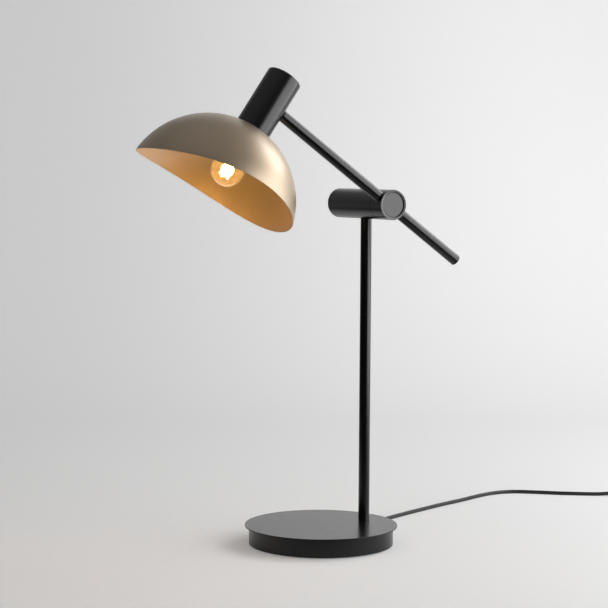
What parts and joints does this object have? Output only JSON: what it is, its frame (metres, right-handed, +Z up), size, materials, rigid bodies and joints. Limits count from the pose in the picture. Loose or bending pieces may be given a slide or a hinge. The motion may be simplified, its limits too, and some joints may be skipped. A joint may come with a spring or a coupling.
{
  "type": "dome shade desk lamp",
  "caption": "Desk lamp with a round weighted base, pole, tilting counter-arm on a barrel joint, swivelling head with a domed shade and bulb, and a mains cord with inline switch and plug.",
  "frame": {"origin": "centre of the base's underside, on the table", "axes": "+Z up, the arm leans in a plane parallel to XZ with the lamp head towards -X, the barrel joint's arm end towards -Y"},
  "size_m": [1.1019, 0.3764, 0.6777],
  "materials": {
    "felt": "pressed felt",
    "black_sheet": "matt black paint",
    "fixings": "zinc plated",
    "black_satin": "satin black powder coat",
    "iron": "as cast",
    "black_rubber": "matt",
    "black_moulding": "fine matt",
    "nylon": "natural",
    "inner_lead": "matt",
    "grey_disc": "satin dark grey",
    "holder_moulding": "semi-matt thermoset",
    "bare_brass": "bright",
    "champagne_gold": "satin anodised gold, warmer gold inside",
    "clear_glass": "clear blown",
    "bulb_metal": "bright",
    "filament": "phosphor coated",
    "cord_sheath": "smooth matt",
    "rocker_moulding": "semi-gloss",
    "plug_metal": "nickel plated"
  },
  "bodies": {
    "base": {"foot_pad": "felt", "bottom_plate": "black_sheet", "base_screws": "fixings", "base_drum": "black_satin", "base_plate": "black_satin", "base_weight": "iron", "cord_gland": "black_rubber", "cord_clamp": "black_moulding", "cord_clamp_screw": "fixings", "pole_nipple": "fixings", "pole_nut": "fixings", "pole_washer": "fixings", "pole_bush": "fixings", "pole_tube": "black_satin", "barrel_housing": "black_satin", "barrel_rear_cap": "black_satin", "friction_washer": "nylon", "lead_in_base": "inner_lead", "cord_lead": "cord_sheath", "cord_link": "cord_sheath", "cord_coil": "cord_sheath", "cord_tail": "cord_sheath", "switch_base": "black_moulding", "switch_cover": "black_moulding", "switch_screws": "fixings", "plug_body": "black_moulding", "plug_pins": "plug_metal"},
    "arm": {"joint_head": "black_satin", "joint_cap": "grey_disc", "joint_spindle": "fixings", "spring_washer": "fixings", "spindle_nuts": "fixings", "arm_set_screw": "fixings", "arm_tube": "black_satin", "arm_tail_cap": "black_satin", "arm_bush": "fixings", "head_stud": "fixings", "head_stud_nut": "fixings", "lead_in_arm": "inner_lead"},
    "head": {"head_shell": "black_satin", "head_saddle": "fixings", "head_washer": "nylon", "holder_bracket": "fixings", "holder_nipple": "fixings", "holder_nut": "fixings", "lampholder_body": "holder_moulding", "lampholder_thread": "bare_brass", "lampholder_contact": "bare_brass", "shade_ring": "holder_moulding", "shade": "champagne_gold", "bulb_glass": "clear_glass", "bulb_cap": "bulb_metal", "bulb_stem": "clear_glass", "bulb_filaments": "filament", "lead_in_head": "inner_lead"},
    "rocker": {"switch_rocker": "rocker_moulding", "rocker_pin": "fixings"}
  },
  "joints": [
    {"name": "arm_tilt", "type": "hinge", "parent": "base", "child": "arm", "pos_m": [0.073, -0.0595, 0.49], "axis": [0, 1, 0], "range_deg": [-60, 50]},
    {"name": "head_swivel", "type": "hinge", "parent": "arm", "child": "head", "pos_m": [-0.1236, -0.0595, 0.62766], "axis": [0.8192, 0, -0.5736], "range_deg": [-170, 170]},
    {"name": "switch_rocker_press", "type": "hinge", "parent": "base", "child": "rocker", "pos_m": [0.69229, 0.05257, 0.013], "axis": [-0.5299, -0.848, 0], "range_deg": [-14, 0]}
  ]
}
